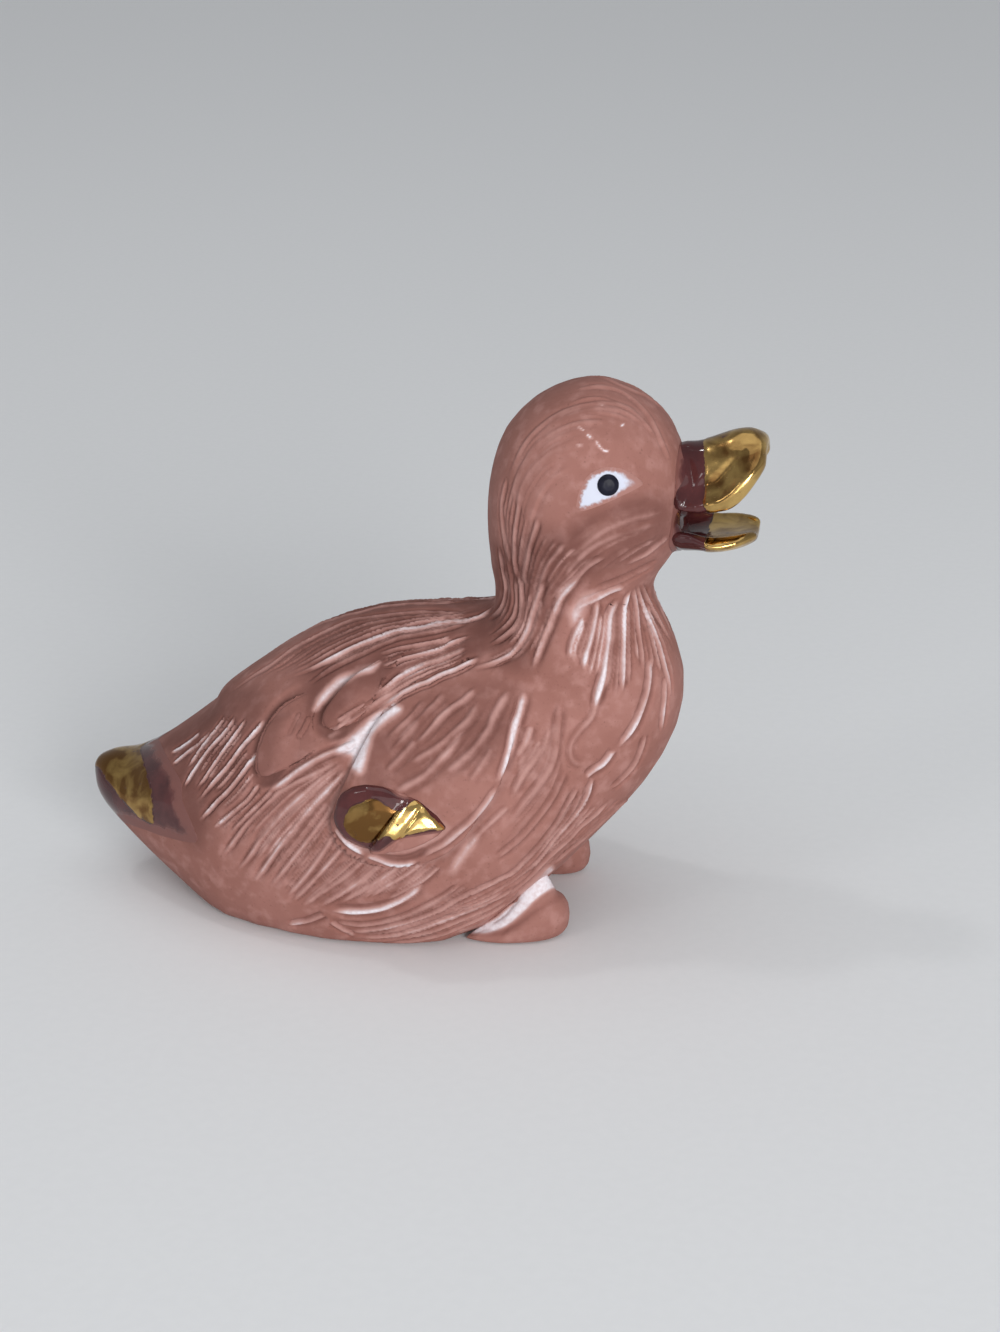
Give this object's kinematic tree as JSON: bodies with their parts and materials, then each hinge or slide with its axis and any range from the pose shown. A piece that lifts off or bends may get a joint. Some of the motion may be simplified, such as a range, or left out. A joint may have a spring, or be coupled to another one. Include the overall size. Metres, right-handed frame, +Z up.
{
  "type": "terracotta duck figurine",
  "caption": "Small free-standing terracotta duckling with an open bill, carved feathers, folded wings, glazed and gilded bill, tail and wing tips.",
  "frame": {"origin": "middle of the bounding box on the ground under the belly", "axes": "+X forward to the bill, +Y to the duckling's left, +Z up"},
  "size_m": [0.0666, 0.035, 0.0529],
  "materials": {
    "clay": "matte unglazed terracotta with white wash in the carved lines",
    "glaze": "glossy maroon glaze",
    "gold": "bright gold lustre, worn at the edges",
    "white_slip": "matte white slip",
    "pupil": "glossy black"
  },
  "bodies": {
    "root": {"body": "clay", "head": "clay", "upper_bill": "clay", "lower_bill": "clay", "upper_bill_glaze": "glaze", "lower_bill_glaze": "glaze", "upper_bill_gold": "gold", "lower_bill_gold": "gold", "tail_glaze": "glaze", "tail_gold": "gold", "left_wing": "clay", "right_wing": "clay", "left_wing_tip": "clay", "right_wing_tip": "clay", "left_wing_tip_glaze": "glaze", "right_wing_tip_glaze": "glaze", "left_wing_tip_gold": "gold", "right_wing_tip_gold": "gold", "left_front_feather": "clay", "right_front_feather": "clay", "left_rear_feather": "clay", "right_rear_feather": "clay", "left_foot": "clay", "right_foot": "clay", "left_eye_white": "white_slip", "right_eye_white": "white_slip", "left_pupil": "pupil", "right_pupil": "pupil"}
  },
  "joints": []
}
